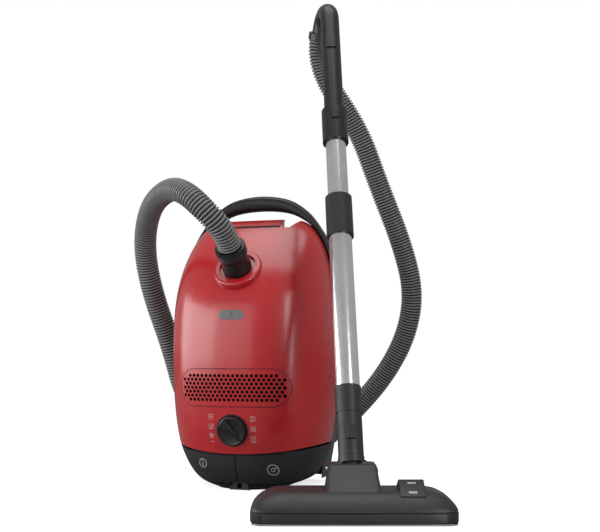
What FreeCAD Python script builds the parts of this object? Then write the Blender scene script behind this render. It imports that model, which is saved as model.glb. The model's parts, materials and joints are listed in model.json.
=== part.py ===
"""Canister vacuum cleaner standing on its rear end, with hose, telescopic wand and floorhead.

Millimetres. +Z up, the cover faces -Y, and the origin is the middle of the rear face that it stands on.
"""

import FreeCAD, Part
import math
import os
from FreeCAD import Vector

# Canister
bodyHeight = 478.0  # to the top of the hull, under the carry handle
wall = 3.0  # moulded plastic shell
seamY = 20.0  # plane where the cover meets the housing
seamGap = 0.8
handleSeamY = 13.0  # the cover's edge beside the carry handle
handleSeamZ = 365.0  # above this the cover stops at handleSeamY
frontFullness = 2.6  # superellipse exponent of the cover's side
backFullness = 3.6  # superellipse exponent of the housing's side
# Hull stations: height, half width, front y, back y
hullStations = [
    (0, 62, -70, 68),
    (9, 86, -84, 82),
    (25, 107, -94, 92),
    (45, 120, -101, 95),
    (62, 128, -105, 96),
    (90, 135, -113, 96),
    (130, 140, -120, 96),
    (190, 143, -126, 96),
    (250, 144, -127, 96),
    (310, 142, -121, 96),
    (350, 138, -106, 95),
    (385, 131, -84, 93),
    (415, 121, -58, 89),
    (440, 107, -33, 84),
    (460, 84, -6, 76),
    (478, 40, 10, 64),
]
coverEdgeZ = 62.0  # lowest point of the cover's lower edge
coverEdgeR = 630.0  # radius of that edge, seen from the front
lidHingeY = -101.0
lidHingeZ = 64.0
lidPinR = 1.5
knuckleR = 2.6
hingeFit = 0.05
bumperTop = 9.0
pedalGap = 3.4  # between the cover's edge and the pedals
pedalTravel = 4.0
pedalEndY = 12.5  # where the pedals' side wings end
tubInset = 9.5  # rear tub inside the hull, behind the pedals
tubTop = 66.0
outletW = 37.0
outletH = 14.0

# Controls and openings on the cover
latchHalf = 48.5
latchBottom = 450.8
latchTop = 463.0
latchTravel = 3.5
portPoint = Vector(0, -92, 368)
portAxis = Vector(0, -0.75, 0.661).normalize()
bossR = 42.0
bossRise = 7.0
bossDepth = 14.0
dishR = 32.0
dishDepth = 5.0
portBoreR = 22.0
cuffR = 24.5
cuffLength = 52.0
spigotDepth = 22.0
swivelFit = 0.08
windowZ = 291.0
windowW = 44.0
windowH = 16.5
flagTravel = 16.0
grilleZ = 171.0
grilleW = 194.0
grilleH = 60.0
grilleHoleR = 2.9
grillePitchX = 8.0
grillePitchZ = 13.2
trimGap = 0.3
dialPoint = Vector(0, -116.5, 101)
dialAxis = Vector(0, -0.98, -0.2).normalize()
dialR = 24.4
dialRise = 7.0
bezelR = 27.0
dialShaftR = 4.0

# Carry handle
handleFront = 14.0
handleBack = 44.0
handleOuter = [(144.5, 335), (138, 380), (127, 420), (112, 448), (88, 479), (52, 502), (0, 510)]
handleInner = [(0, 483), (45, 479), (76, 467), (103, 446), (120, 420), (132, 385), (141, 338)]

# Drive, filters and cable reel
motorX = 50.0
motorY = -28.0
motorR = 48.0
motorBottom = 96.0
motorTop = 150.0
fanR = 52.0
fanTop = 202.0
shaftR = 4.0
bearingFit = 0.05
bulkheadZ = 202.5
bulkheadT = 3.0
reelZ = 112.0
reelR = 63.0
reelFront = 30.0
reelBack = 84.0
reelHubR = 22.0
reelAxleR = 6.0
reelAxleEnd = 92.9
wheelR = 36.0
wheelInner = 71.0
wheelWidth = 22.0
wheelY = 68.0
wheelZ = 66.0
wheelAxleR = 4.0
wheelClear = 3.0
castorZ = 392.0
castorBossR = 22.0
castorWheelR = 11.0
castorWheelW = 14.0

# Hose: outer diameter and the points of its two stretches
hoseR = 20.0
hoseBoreR = 17.5
hoseLead = 34.0  # straight run out of the cuff, and two thirds of the one into the handle
hoseFront = [
    (-24, -180, 458),
    (-60, -176, 490),
    (-112, -126, 508),
    (-178, -64, 488),
    (-212, -18, 424),
    (-212, 20, 340),
    (-190, 62, 240),
    (-176, 97, 140),
    (-158, 136, 96),
]
hoseRear = [
    (-158, 136, 96),
    (-140, 175, 52),
    (-95, 232, 22),
    (-30, 274, 22),
    (40, 296, 48),
    (112, 292, 118),
    (172, 280, 184),
    (218, 266, 262),
    (237, 246, 346),
    (219, 216, 440),
    (184, 178, 545),
    (154, 138, 650),
]

# Wand, in its own frame: z along the wand from the floorhead's tilt pin, y to the rear
pivot = Vector(244, -283, 65)
wandAxis = Vector(-0.1335, 0.351, 0.927).normalize()
headYaw = 17.0
lowerTubeR = 18.0
upperTubeR = 16.7
tubeWall = 1.0
tubeFit = 0.03
neckTop = 18.0
connectorR = 18.4
connectorTop = 82.0
couplingTop = 122.0
couplingR = 19.4
lowerTubeTop = 440.0
sleeveBottom = 373.0
sleeveTop = 444.0
sleeveR = 21.5
sleeveTravel = 6.0
socketBottom = 550.0
socketTop = 617.0
socketR = 21.5
gripTubeR = 16.5
gripStraightTop = 810.0
gripBendR = 36.0
gripTurn = 131.0
gripAim = -12.0  # the bend heads this far to the left of straight back
gripTail = 6.0
collarLength = 12.0
collarR = 22.0

# Floorhead, in its own frame: x across, origin on the floor under the tilt pin
headHalf = 141.0
headFront = -88.0
headBack = 28.0
soleY = -30.0  # middle of the sole, in front of the tilt pin
skirtTop = 18.0
headTop = 43.0
headTopHalf = 108.0
headWall = 2.5
blockHalf = 37.0
blockSlot = 21.5
blockTop = 75.0
tiltPinR = 4.0
barrelR = 13.0
soleBottom = 1.5
rollerR = 5.0
brushTravel = 5.0
rockerX = 77.0
rockerHalf = 20.0


def box(x0, x1, y0, y1, z0, z1):
    return Part.makeBox(x1 - x0, y1 - y0, z1 - z0, Vector(x0, y0, z0))


def rod(point, axis, radius, start, end):
    """Cylinder about an axis through point, from start to end along it."""
    direction = Vector(axis).normalize()
    base = Vector(point) + direction * start
    return Part.makeCylinder(radius, end - start, base, direction)


def tube(point, axis, outer, inner, start, end):
    return rod(point, axis, outer, start, end).cut(rod(point, axis, inner, start - 1, end + 1))


def fuse(shapes):
    """Joins the pieces one after another, which copes best with the hull's curved faces."""
    joined = shapes[0]
    for piece in shapes[1:]:
        joined = joined.fuse(piece)
    return joined


def cut(shape, tools):
    """Takes the tools away one after another, since tools may cross each other."""
    for tool in tools:
        shape = shape.cut(tool)
    return shape


def pill(width, height, z, y0, y1, gap=0.0):
    """Prism along Y with round ends."""
    r = height / 2 + gap
    half = width / 2 - height / 2
    ends = [rod((x, 0, z), (0, 1, 0), r, y0, y1) for x in (-half, half)]
    return fuse(ends + [box(-half, half, y0, y1, z - r, z + r)])


def polygonPrism(points, y0, y1):
    """Closed outline of (x, z) points, extruded along Y."""
    loop = [Vector(x, y0, z) for x, z in points]
    return Part.Face(Part.makePolygon(loop + loop[:1])).extrude(Vector(0, y1 - y0, 0))


def bounded(limit, value):
    return math.copysign(max(abs(value), 1e-9) ** limit, value)


def hullSection(z, halfWidth, front, back):
    """Closed smooth outline at one height: a fuller superellipse behind the seam plane."""
    points = []
    for step in range(36):
        angle = math.radians(step * 10)
        behind = math.sin(angle) > 0
        power = 2 / (backFullness if behind else frontFullness)
        depth = back - seamY if behind else seamY - front
        x = halfWidth * bounded(power, math.cos(angle))
        y = seamY + depth * bounded(power, math.sin(angle))
        points.append(Vector(x, y, z))
    curve = Part.BSplineCurve()
    curve.interpolate(points, PeriodicFlag=True)
    return Part.Wire(curve.toShape())


def hull(inset):
    """The canister's outer form, or the same form that much further in."""
    wires = []
    for z, halfWidth, front, back in hullStations:
        level = inset + z * (bodyHeight - 2 * inset) / bodyHeight
        depth = min(inset, (back - seamY) * 0.6)
        frontDepth = min(inset, (seamY - front) * 0.4)
        wires.append(hullSection(level, halfWidth - inset, front + frontDepth, back - depth))
    return Part.makeLoft(wires, True, False)


outerHull = hull(0.0)
innerHull = hull(wall)
tubHull = hull(tubInset)
tubInner = hull(tubInset + wall)
shell = outerHull.cut(innerHull)
edgeAxis = (0, 0, coverEdgeZ + coverEdgeR)
farFront = -220.0
farBack = 160.0
wide = 200.0
nodes = {}


def gapCutter():
    """Space above the cover's top edge: finger gap, the notch at each side and over the latch."""
    right = [(50.5, latchTop + 0.5), (52, 452), (57, 446.5), (67, 446.5), (80, 461), (80, 520)]
    left = [(-x, z) for x, z in reversed(right)]
    return polygonPrism(left + right, farFront, farBack)


def makeCover():
    above = rod(edgeAxis, (0, 1, 0), coverEdgeR, farFront, seamY - seamGap / 2)
    cover = shell.common(above)
    boss = rod(portPoint, portAxis, bossR, -bossDepth, bossRise)
    boss = boss.makeFillet(5.0, [e for e in boss.Edges if e.CenterOfMass.distanceToPoint(portPoint) < bossRise + 1])
    cover = fuse([cover, boss])
    for side in (-1, 1):
        x0, x1 = sorted((side * 12.0, side * 30.0))
        knuckle = rod((0, lidHingeY, lidHingeZ), (1, 0, 0), knuckleR, x0, x1)
        cover = fuse([cover, knuckle])
    hingeLine = (0, lidHingeY, lidHingeZ)
    shelf = innerHull.common(box(-85, 85, farFront, handleSeamY, 443.0, 446.5))
    cover = fuse([cover, shelf])
    cuts = [
        rod(portPoint, portAxis, dishR, bossRise - dishDepth, bossRise + 20),
        rod(portPoint, portAxis, portBoreR, -bossDepth - 20, bossRise),
        rod(hingeLine, (1, 0, 0), lidPinR, -31, 31),
        rod(hingeLine, (1, 0, 0), knuckleR + 0.5, -11.6, 11.6),
        pill(windowW, windowH, windowZ, farFront, -90),
        pill(grilleW, grilleH, grilleZ, farFront, -60),
        rod(dialPoint, dialAxis, bezelR, -20, 20),
        box(-wide, wide, handleSeamY, seamY + 1, handleSeamZ, bodyHeight + 1),
        box(-latchHalf - 2, latchHalf + 2, farFront, seamY + 1, 446.5, bodyHeight + 1),
        gapCutter(),
    ]
    return cut(cover, cuts)


def makeHousing():
    behind = box(-wide, wide, seamY + seamGap / 2, farBack, bumperTop + 0.3, bodyHeight)
    parts = [shell.common(behind)]
    tubZone = box(-wide, wide, farFront, 23, bumperTop + 0.3, tubTop)
    parts.append(tubHull.cut(tubInner).common(tubZone))
    web = outerHull.common(box(-wide, wide, 17.5, 23, bumperTop + 0.3, tubTop)).cut(tubInner)
    parts.append(web)
    parts.append(tubHull.common(box(-wide, wide, farFront, 23, tubTop - wall, tubTop)))
    floorZone = box(-wide, wide, farFront, farBack, bumperTop + 0.3, bumperTop + 0.3 + wall)
    parts.append(tubHull.common(floorZone))
    parts.append(outerHull.common(box(-wide, wide, 17.5, farBack, bumperTop + 0.3, bumperTop + 0.3 + wall)))
    knuckle = rod((0, lidHingeY, lidHingeZ), (1, 0, 0), knuckleR, -11, 11)
    lug = box(-11, 11, lidHingeY, lidHingeY + 9, lidHingeZ - knuckleR, lidHingeZ + 1.5)
    parts += [knuckle, lug.cut(tubInner)]
    parts.append(rod((0, 0, castorZ), (0, 1, 0), castorBossR, 84, 96))
    parts.append(outerHull.common(box(-90, 90, seamY + seamGap / 2, farBack, 443.0, 446.0)))
    wellInner = wheelInner - wheelClear
    wellOuter = wheelInner + wheelWidth + wheelClear
    low = wheelZ - wheelR - wheelClear
    high = wheelZ + wheelR + wheelClear
    cuts = []
    for side in (-1, 1):
        x0, x1 = sorted((side * wellInner, side * wellOuter))
        parts.append(box(x0 - 2, x1 + 2, wheelY - wheelR - 5, 94, low - 2, high + 2).common(innerHull))
        cuts.append(box(x0, x1, wheelY - wheelR - 3, farBack, low, high))
        x0, x1 = sorted((side * (wellInner - 2), side * (wellOuter + 2)))
        cuts.append(rod((0, wheelY, wheelZ), (1, 0, 0), wheelAxleR, x0, x1))
    hingeLine = (0, lidHingeY, lidHingeZ)
    cuts += [
        rod(hingeLine, (1, 0, 0), lidPinR + hingeFit, -12, 12),
        box(-80, 80, farFront, farBack, 446, bodyHeight + 30),
        rod((0, 0, castorZ), (0, 1, 0), 5.0, 80, 100),
        outletCut(),
    ]
    for x, z in screwPlaces():
        cuts.append(rod((x, 0, z), (0, 1, 0), 4.2, 94.0, 110))
        cuts.append(rod((x, 0, z), (0, 1, 0), 2.0, 80, 110))
    return cut(fuse(parts), cuts)


def screwPlaces():
    return [(-52, 240), (52, 240), (-52, 350), (52, 350)]


def outletCut():
    half = outletW / 2
    outline = [(-half, -1), (-half + 5, outletH), (half - 5, outletH), (half, -1)]
    return polygonPrism(outline, farFront, -62)


def makeRearEnd():
    nodes["rear_bumper"] = outerHull.common(box(-wide, wide, farFront, farBack, 0, bumperTop)).cut(outletCut())
    half = outletW / 2 - 0.5
    outer = polygonPrism([(-half, 0.3), (-half + 5, outletH - 0.5), (half - 5, outletH - 0.5), (half, 0.3)], -80, -62.5)
    throat = rod((0, 0, 7), (0, 1, 0), 4.5, -90, -55)
    nodes["cord_outlet"] = outer.cut(throat)
    below = box(-wide, wide, farFront, pedalEndY, bumperTop + 1.5, 90)
    arc = rod(edgeAxis, (0, 1, 0), coverEdgeR + pedalGap, farFront, farBack)
    band = shell.common(below).cut(arc).cut(outletCut())
    nodes["power_pedal"] = band.common(box(-wide, -0.8, farFront, farBack, 0, 100))
    nodes["rewind_pedal"] = band.common(box(0.8, wide, farFront, farBack, 0, 100))


def makeCoverParts():
    latchZone = box(-latchHalf, latchHalf, farFront, handleSeamY - 0.5, latchBottom, latchTop)
    nodes["release_latch"] = outerHull.common(latchZone)
    seal = tube(portPoint, portAxis, 30, portBoreR + 0.7, -bossDepth - 4, -bossDepth)
    nodes["port_seal"] = seal
    cuff = fuse([
        rod(portPoint, portAxis, cuffR, bossRise - dishDepth + 0.5, bossRise - dishDepth + cuffLength),
        rod(portPoint, portAxis, portBoreR - swivelFit, -spigotDepth, bossRise - dishDepth + 1),
        rod(portPoint, portAxis, cuffR + 1.5, cuffLength - 8, bossRise - dishDepth + cuffLength),
    ])
    nodes["hose_cuff"] = cuff.cut(rod(portPoint, portAxis, 18.5, -spigotDepth - 1, cuffLength - 6))
    nodes["indicator_window"] = shell.common(pill(windowW, windowH, windowZ, farFront, -90, -trimGap / 2))
    nodes["indicator_flag"] = box(-18, -4, -117.5, -116, windowZ - 7, windowZ + 7)
    grille = shell.common(pill(grilleW, grilleH, grilleZ, farFront, -60, -trimGap / 2))
    nodes["exhaust_grille"] = grille.cut(Part.makeCompound(grilleHoles()))
    nodes["dial_bezel"] = fuse([
        tube(dialPoint, dialAxis, bezelR - 0.1, dialR + 0.4, -6, 0.8),
        tube(dialPoint, dialAxis, bezelR - 0.1, dialShaftR + 0.08, -8, -6),
    ])
    ridge = box(-4, 4, -dialR + 3, dialR - 1, dialRise - 1, dialRise + 5)
    knob = rod((0, 0, 0), (0, 0, 1), dialR, -5.5, dialRise)
    knob = knob.makeFillet(2.0, [e for e in knob.Edges if e.CenterOfMass.z > dialRise - 0.1])
    knob = fuse([knob, ridge.rotate(Vector(), Vector(0, 0, 1), 45) or ridge])
    knob = fuse([knob, rod((0, 0, 0), (0, 0, 1), dialShaftR, -24, -5)])
    knob.Placement = FreeCAD.Placement(dialPoint, FreeCAD.Rotation(Vector(0, 0, 1), dialAxis))
    nodes["power_dial"] = knob
    nodes["lid_hinge_pin"] = rod((0, lidHingeY, lidHingeZ), (1, 0, 0), lidPinR, -30, 30)


def grilleHoles():
    """Staggered round vent holes that stay inside the grille's outline."""
    holes = []
    rows = 3
    columns = 28
    for column in range(-columns, columns + 1):
        x = column * grillePitchX / 2
        for row in range(-rows, rows + 1):
            z = row * grillePitchZ + (column % 2) * grillePitchZ / 2
            straight = max(abs(x) - (grilleW - grilleH) / 2, 0)
            if math.hypot(straight, z) < grilleH / 2 - grilleHoleR - 2.0:
                holes.append(rod((x, 0, grilleZ + z), (0, 1, 0), grilleHoleR, farFront, -70))
    return holes


def makeCarryHandle():
    outer = Part.BSplineCurve()
    left = [(-x, z) for x, z in handleOuter[:-1]]
    outer.interpolate([Vector(x, handleFront, z) for x, z in left + handleOuter[::-1]])
    inner = Part.BSplineCurve()
    left = [(-x, z) for x, z in handleInner[1:]]
    inner.interpolate([Vector(x, handleFront, z) for x, z in left[::-1] + handleInner])
    ends = [
        Part.LineSegment(outer.EndPoint, inner.EndPoint),
        Part.LineSegment(inner.StartPoint, outer.StartPoint),
    ]
    wire = Part.Wire([outer.toShape(), ends[0].toShape(), inner.toShape(), ends[1].toShape()])
    arch = Part.Face(wire).extrude(Vector(0, handleBack - handleFront, 0))
    besideCover = box(-wide, wide, handleFront - 1, seamY + 1, 300, handleSeamZ + 2)
    nodes["carry_handle"] = cut(arch, [outerHull, besideCover])


def makeInside():
    deckZone = box(-wide, wide, farFront, farBack, bulkheadZ, bulkheadZ + bulkheadT)
    bulkhead = hull(wall + 1.5).common(deckZone)
    nodes["bulkhead"] = bulkhead.cut(rod((motorX, motorY, 0), (0, 0, 1), 26, 190, 220))
    middle = (motorX, motorY, 0)
    up = (0, 0, 1)
    nodes["pre_motor_filter"] = box(motorX - 40, motorX + 40, motorY - 40, motorY + 40, 205.8, 214)
    nodes["fan_housing"] = fuse([
        tube(middle, up, fanR, fanR - 3, motorTop, fanTop),
        tube(middle, up, fanR, 22, fanTop - 3, fanTop),
    ])
    nodes["motor_housing"] = fuse([
        tube(middle, up, motorR, motorR - 3, motorBottom, motorTop),
        tube(middle, up, motorR, shaftR + bearingFit, motorBottom, motorBottom + 4),
        tube(middle, up, motorR, shaftR + bearingFit, motorTop - 4, motorTop),
    ])
    nodes["motor_stator"] = tube(middle, up, motorR - 3.05, 30, 106, 140)
    nodes["motor_rotor"] = fuse([rod(middle, up, 28, 106, 140), rod(middle, up, shaftR, 92, 186)])
    fan = [tube(middle, up, 46, shaftR, 166, 168), tube(middle, up, 46, 20, 180, 182)]
    for blade in range(9):
        vane = box(14, 45, -1, 1, 167, 181)
        vane.rotate(Vector(), Vector(0, 0, 1), blade * 40)
        vane.translate(Vector(motorX, motorY, 0))
        fan.append(vane)
    fan.append(tube(middle, up, 14.5, shaftR, 167, 178))
    nodes["fan_impeller"] = fuse(fan)
    nodes["motor_mount"] = tube(middle, up, motorR, 30, 84, motorBottom)
    nodes["motor_cradle"] = tube(middle, up, motorR, 38, tubTop, 84)
    nodes["exhaust_filter"] = box(-82, 82, -96, -84, grilleZ - 29, grilleZ + 29)
    nodes["control_board"] = box(-50, 30, -82.6, -81, tubTop, 126)
    bag = hull(16).common(box(-wide, wide, -36, 90, 222, 396))
    nodes["dust_bag"] = bag
    plate = box(-50, 50, -45, 45, -spigotDepth - 4.5, -spigotDepth - 1)
    plate = plate.cut(rod((0, 0, 0), up, portBoreR + 0.5, -60, 10))
    plate.Placement = FreeCAD.Placement(portPoint, FreeCAD.Rotation(Vector(1, 0, 0), Vector(), portAxis, "ZXY"))
    nodes["bag_collar"] = plate
    axis = (0, 0, reelZ)
    back = (0, 1, 0)
    bore = reelAxleR + bearingFit
    nodes["reel_drum"] = fuse([
        tube(axis, back, reelR, bore, reelFront, reelFront + 3),
        tube(axis, back, reelR, bore, reelBack - 3, reelBack),
        tube(axis, back, reelHubR, bore, reelFront, reelBack),
    ])
    nodes["wound_cable"] = tube(axis, back, reelR - 6, reelHubR, reelFront + 3, reelBack - 3)
    nodes["reel_axle"] = rod(axis, back, reelAxleR, reelFront - 4, reelAxleEnd)
    screws = []
    for x, z in screwPlaces():
        screws.append(fuse([rod((x, 0, z), back, 3.9, 94, 95.4), rod((x, 0, z), back, 2.0, 84, 94.2)]))
    nodes["housing_screws"] = Part.makeCompound(screws)


def makeWheels():
    across = (1, 0, 0)
    centre = (0, wheelY, wheelZ)
    axles = []
    for name, side in (("left", -1), ("right", 1)):
        x0, x1 = sorted((side * wheelInner, side * (wheelInner + wheelWidth)))
        wheel = tube(centre, across, wheelR, wheelAxleR + bearingFit, x0, x1)
        edges = [e for e in wheel.Edges if abs(e.Length - 2 * math.pi * wheelR) < 0.1]
        wheel = wheel.makeFillet(4.0, edges)
        groove = tube(centre, across, wheelR - 8, 12, x0 - 1, x0 + 3).fuse(
            tube(centre, across, wheelR - 8, 12, x1 - 3, x1 + 1)
        )
        nodes[name + "_rear_wheel"] = wheel.cut(groove)
        pad = wheelClear + 2
        x0, x1 = sorted((side * (wheelInner - pad), side * (wheelInner + wheelWidth + pad)))
        axles.append(rod(centre, across, wheelAxleR, x0, x1))
    nodes["rear_wheel_axles"] = Part.makeCompound(axles)
    back = (0, 1, 0)
    base = rod((0, 0, castorZ), back, 19, 96.5, 100)
    stem = rod((0, 0, castorZ), back, 4.95, 82, 97)
    wheelAt = (0, 111, castorZ - 8)
    cheeks = []
    for x0, x1 in ((-11.5, -8.5), (8.5, 11.5)):
        cheeks.append(box(x0, x1, 99, 111, castorZ - 15, castorZ + 2))
        cheeks.append(rod(wheelAt, across, 7, x0, x1))
    axle = rod(wheelAt, across, 2.0, -11.5, 11.5)
    nodes["castor_fork"] = fuse([base, stem, axle] + cheeks)
    half = castorWheelW / 2
    nodes["castor_wheel"] = tube(wheelAt, across, castorWheelR - 0.6, 2.05, -half, half)


def smoothPath(points):
    """Straight runs joined by tangent arcs, each as large as its two runs allow."""
    points = [Vector(*p) for p in points]
    edges = []
    radii = []
    last = points[0]
    for before, corner, after in zip(points, points[1:], points[2:]):
        toBefore = before - corner
        toAfter = after - corner
        reach = 0.45 * min(toBefore.Length, toAfter.Length)
        half = (math.pi - toBefore.getAngle(toAfter)) / 2
        radii.append(round(reach / math.tan(half)))
        start = corner + toBefore.normalize() * reach
        end = corner + toAfter.normalize() * reach
        inward = (toBefore + toAfter).normalize()
        sagitta = reach / math.tan(half) * (1 / math.cos(half) - 1)
        edges.append(Part.LineSegment(last, start).toShape())
        edges.append(Part.Arc(start, corner + inward * sagitta, end).toShape())
        last = end
    edges.append(Part.LineSegment(last, points[-1]).toShape())
    return Part.Wire(edges), radii


def sweep(points, radius):
    path, radii = smoothPath(points)
    start = Vector(*points[0])
    direction = Vector(*points[1]) - start
    ring = Part.Wire(Part.makeCircle(radius, start, direction))
    pipe = path.makePipeShell([ring], True, False)
    return pipe, path, radii


def makeHose():
    cuffEnd = portPoint + portAxis * (bossRise - dishDepth + cuffLength)
    start = [tuple(cuffEnd), tuple(cuffEnd + portAxis * hoseLead)]
    finish = [tuple(hoseEnd() + hoseAim() * 1.5 * hoseLead), tuple(hoseEnd())]
    ends = {"hose_front": start + hoseFront, "hose_rear": hoseRear + finish}
    for name, points in ends.items():
        outer, path, radii = sweep(points, hoseR)
        inner = sweep(points, hoseBoreR)[0]
        nodes[name] = outer.cut(inner)
        ideal = math.pi * (hoseR**2 - hoseBoreR**2) * path.Length
        print(name, [tuple(round(c, 1) for c in p) for p in points])
        print(name, "length", round(path.Length), "radii", radii, "volume ratio", round(nodes[name].Volume / ideal, 4))


def headAcross():
    """The floorhead's long direction, along which its tilt pin lies."""
    return Vector(math.cos(math.radians(headYaw)), math.sin(math.radians(headYaw)), 0)


def wandPlacement():
    return FreeCAD.Placement(pivot, FreeCAD.Rotation(headAcross(), Vector(), wandAxis, "ZXY"))


def placed(shape, placement):
    copy = shape.copy()
    copy.Placement = placement.multiply(copy.Placement)
    return copy


gripBranch = [(-9, 44, 838), (-11, 51, 800), (-9, 42, 757), (-5, 22, 716), (0, 4, 686)]


def gripHeading():
    return Vector(math.sin(math.radians(gripAim)), math.cos(math.radians(gripAim)), 0)


def gripExit():
    turn = math.radians(gripTurn)
    return gripHeading() * math.sin(turn) + Vector(0, 0, math.cos(turn))


def gripPoint(turned):
    """Place on the handle's bend after that much of its turn, in degrees."""
    turn = math.radians(turned)
    across = gripHeading() * gripBendR * (1 - math.cos(turn))
    return Vector(0, 0, gripStraightTop + gripBendR * math.sin(turn)) + across


def gripEnd():
    return gripPoint(gripTurn) + gripExit() * gripTail


def gripTube(radius, start):
    """The handle's tube: straight up the wand, then over the top and down to the hose."""
    first = Vector(0, 0, start)
    runs = [
        Part.LineSegment(first, gripPoint(0)),
        Part.Arc(gripPoint(0), gripPoint(gripTurn / 2), gripPoint(gripTurn)),
        Part.LineSegment(gripPoint(gripTurn), gripEnd()),
    ]
    ring = Part.Wire(Part.makeCircle(radius, first, Vector(0, 0, 1)))
    return Part.Wire([run.toShape() for run in runs]).makePipeShell([ring], True, False)


def hoseEnd():
    return wandPlacement().multVec(gripEnd() + gripExit() * collarLength)


def hoseAim():
    return wandPlacement().Rotation.multVec(gripExit())


def splineTube(points, radius):
    curve = Part.BSplineCurve()
    curve.interpolate([Vector(*p) for p in points])
    ring = Part.Wire(Part.makeCircle(radius, curve.StartPoint, curve.tangent(curve.FirstParameter)[0]))
    return Part.Wire(curve.toShape()).makePipeShell([ring], True, False)


def makeWand():
    up = (0, 0, 1)
    zero = (0, 0, 0)
    local = {}
    barrel = rod(zero, (1, 0, 0), barrelR, -blockSlot + 0.6, blockSlot - 0.6)
    neck = fuse([barrel, rod(zero, up, barrelR, 0, 10), rod(zero, up, 19, 8, neckTop)])
    local["swivel_neck"] = neck.cut(rod(zero, up, 10, 4, 40))
    connector = tube(zero, up, connectorR, 15.5, neckTop + 0.5, connectorTop)
    buttonSlot = box(-6.5, 6.5, -30, -12, 39, 62)
    local["connector_tube"] = connector.cut(buttonSlot)
    button = box(-6, 6, -20.6, -15.0, 39.5, 61.5)
    local["connector_button"] = button.makeFillet(1.5, [e for e in button.Edges if e.CenterOfMass.y < -20])
    local["lower_coupling"] = tube(zero, up, couplingR, lowerTubeR + tubeFit, connectorTop, couplingTop)
    local["lower_tube"] = tube(zero, up, lowerTubeR, lowerTubeR - tubeWall, connectorTop, lowerTubeTop)
    local["telescope_sleeve"] = fuse([
        tube(zero, up, sleeveR, lowerTubeR + 0.3, sleeveBottom, sleeveTop),
        tube(zero, up, sleeveR, upperTubeR + 0.3, sleeveTop - 2, sleeveTop),
    ])
    local["upper_tube"] = tube(zero, up, upperTubeR, upperTubeR - tubeWall, 130, socketTop - 4)
    socket = tube(zero, up, socketR, upperTubeR + tubeFit, socketBottom, socketTop - 4)
    socket = socket.cut(box(-6.5, 6.5, -30, -17.2, 586, 606))
    local["handle_socket"] = socket
    button = box(-6, 6, -23.4, -20.2, 586.6, 605.4)
    local["handle_button"] = button.makeFillet(1.2, [e for e in button.Edges if e.CenterOfMass.y < -23])
    grip = gripTube(gripTubeR, socketTop - 3.5)
    branch = splineTube(gripBranch, 10.5)
    hoseRoom = rod(gripEnd(), gripExit(), collarR + 0.05, 0, collarLength + 45)
    local["handle_grip"] = cut(fuse([grip, branch]), [gripTube(13.0, socketTop - 4.5), hoseRoom])
    local["hose_collar"] = tube(gripEnd(), gripExit(), collarR, 13.0, 0, collarLength)
    slide = tube(zero, up, gripTubeR + 2.2, gripTubeR + 0.3, 738, 768)
    local["air_slide"] = slide.common(box(-9, 9, -30, 0, 730, 780))
    for name, shape in local.items():
        nodes[name] = placed(shape, wandPlacement())
    pinBore = rod(pivot, headAcross(), tiltPinR + 0.06, -blockSlot, blockSlot)
    nodes["swivel_neck"] = nodes["swivel_neck"].cut(pinBore)


def roundedBlock(halfX, y0, y1, z0, z1, radius):
    block = box(-halfX, halfX, y0, y1, z0, z1)
    upright = [e for e in block.Edges if e.BoundBox.ZLength > (z1 - z0) * 0.99 and e.BoundBox.XLength < 0.01]
    return block.makeFillet(radius, upright)


def roundedWire(halfX, y0, y1, z, radius):
    face = [f for f in roundedBlock(halfX, y0, y1, z, z + 1, radius).Faces if f.BoundBox.ZMax < z + 0.01][0]
    return face.OuterWire


def headForm(inset):
    skirt = roundedBlock(headHalf - inset, headFront + inset, headBack - inset, 3.5, skirtTop - inset, 16)
    wires = [
        roundedWire(headHalf - inset, headFront + inset, headBack - inset, skirtTop - inset, 16),
        roundedWire(headHalf - 9 - inset, headFront + 7 + inset, headBack - 6 - inset, 33 - inset, 16),
        roundedWire(headTopHalf - inset, headFront + 22 + inset, headBack - 18 - inset, headTop - inset, 16),
    ]
    return fuse([skirt, Part.makeLoft(wires, True, True)])


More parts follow.
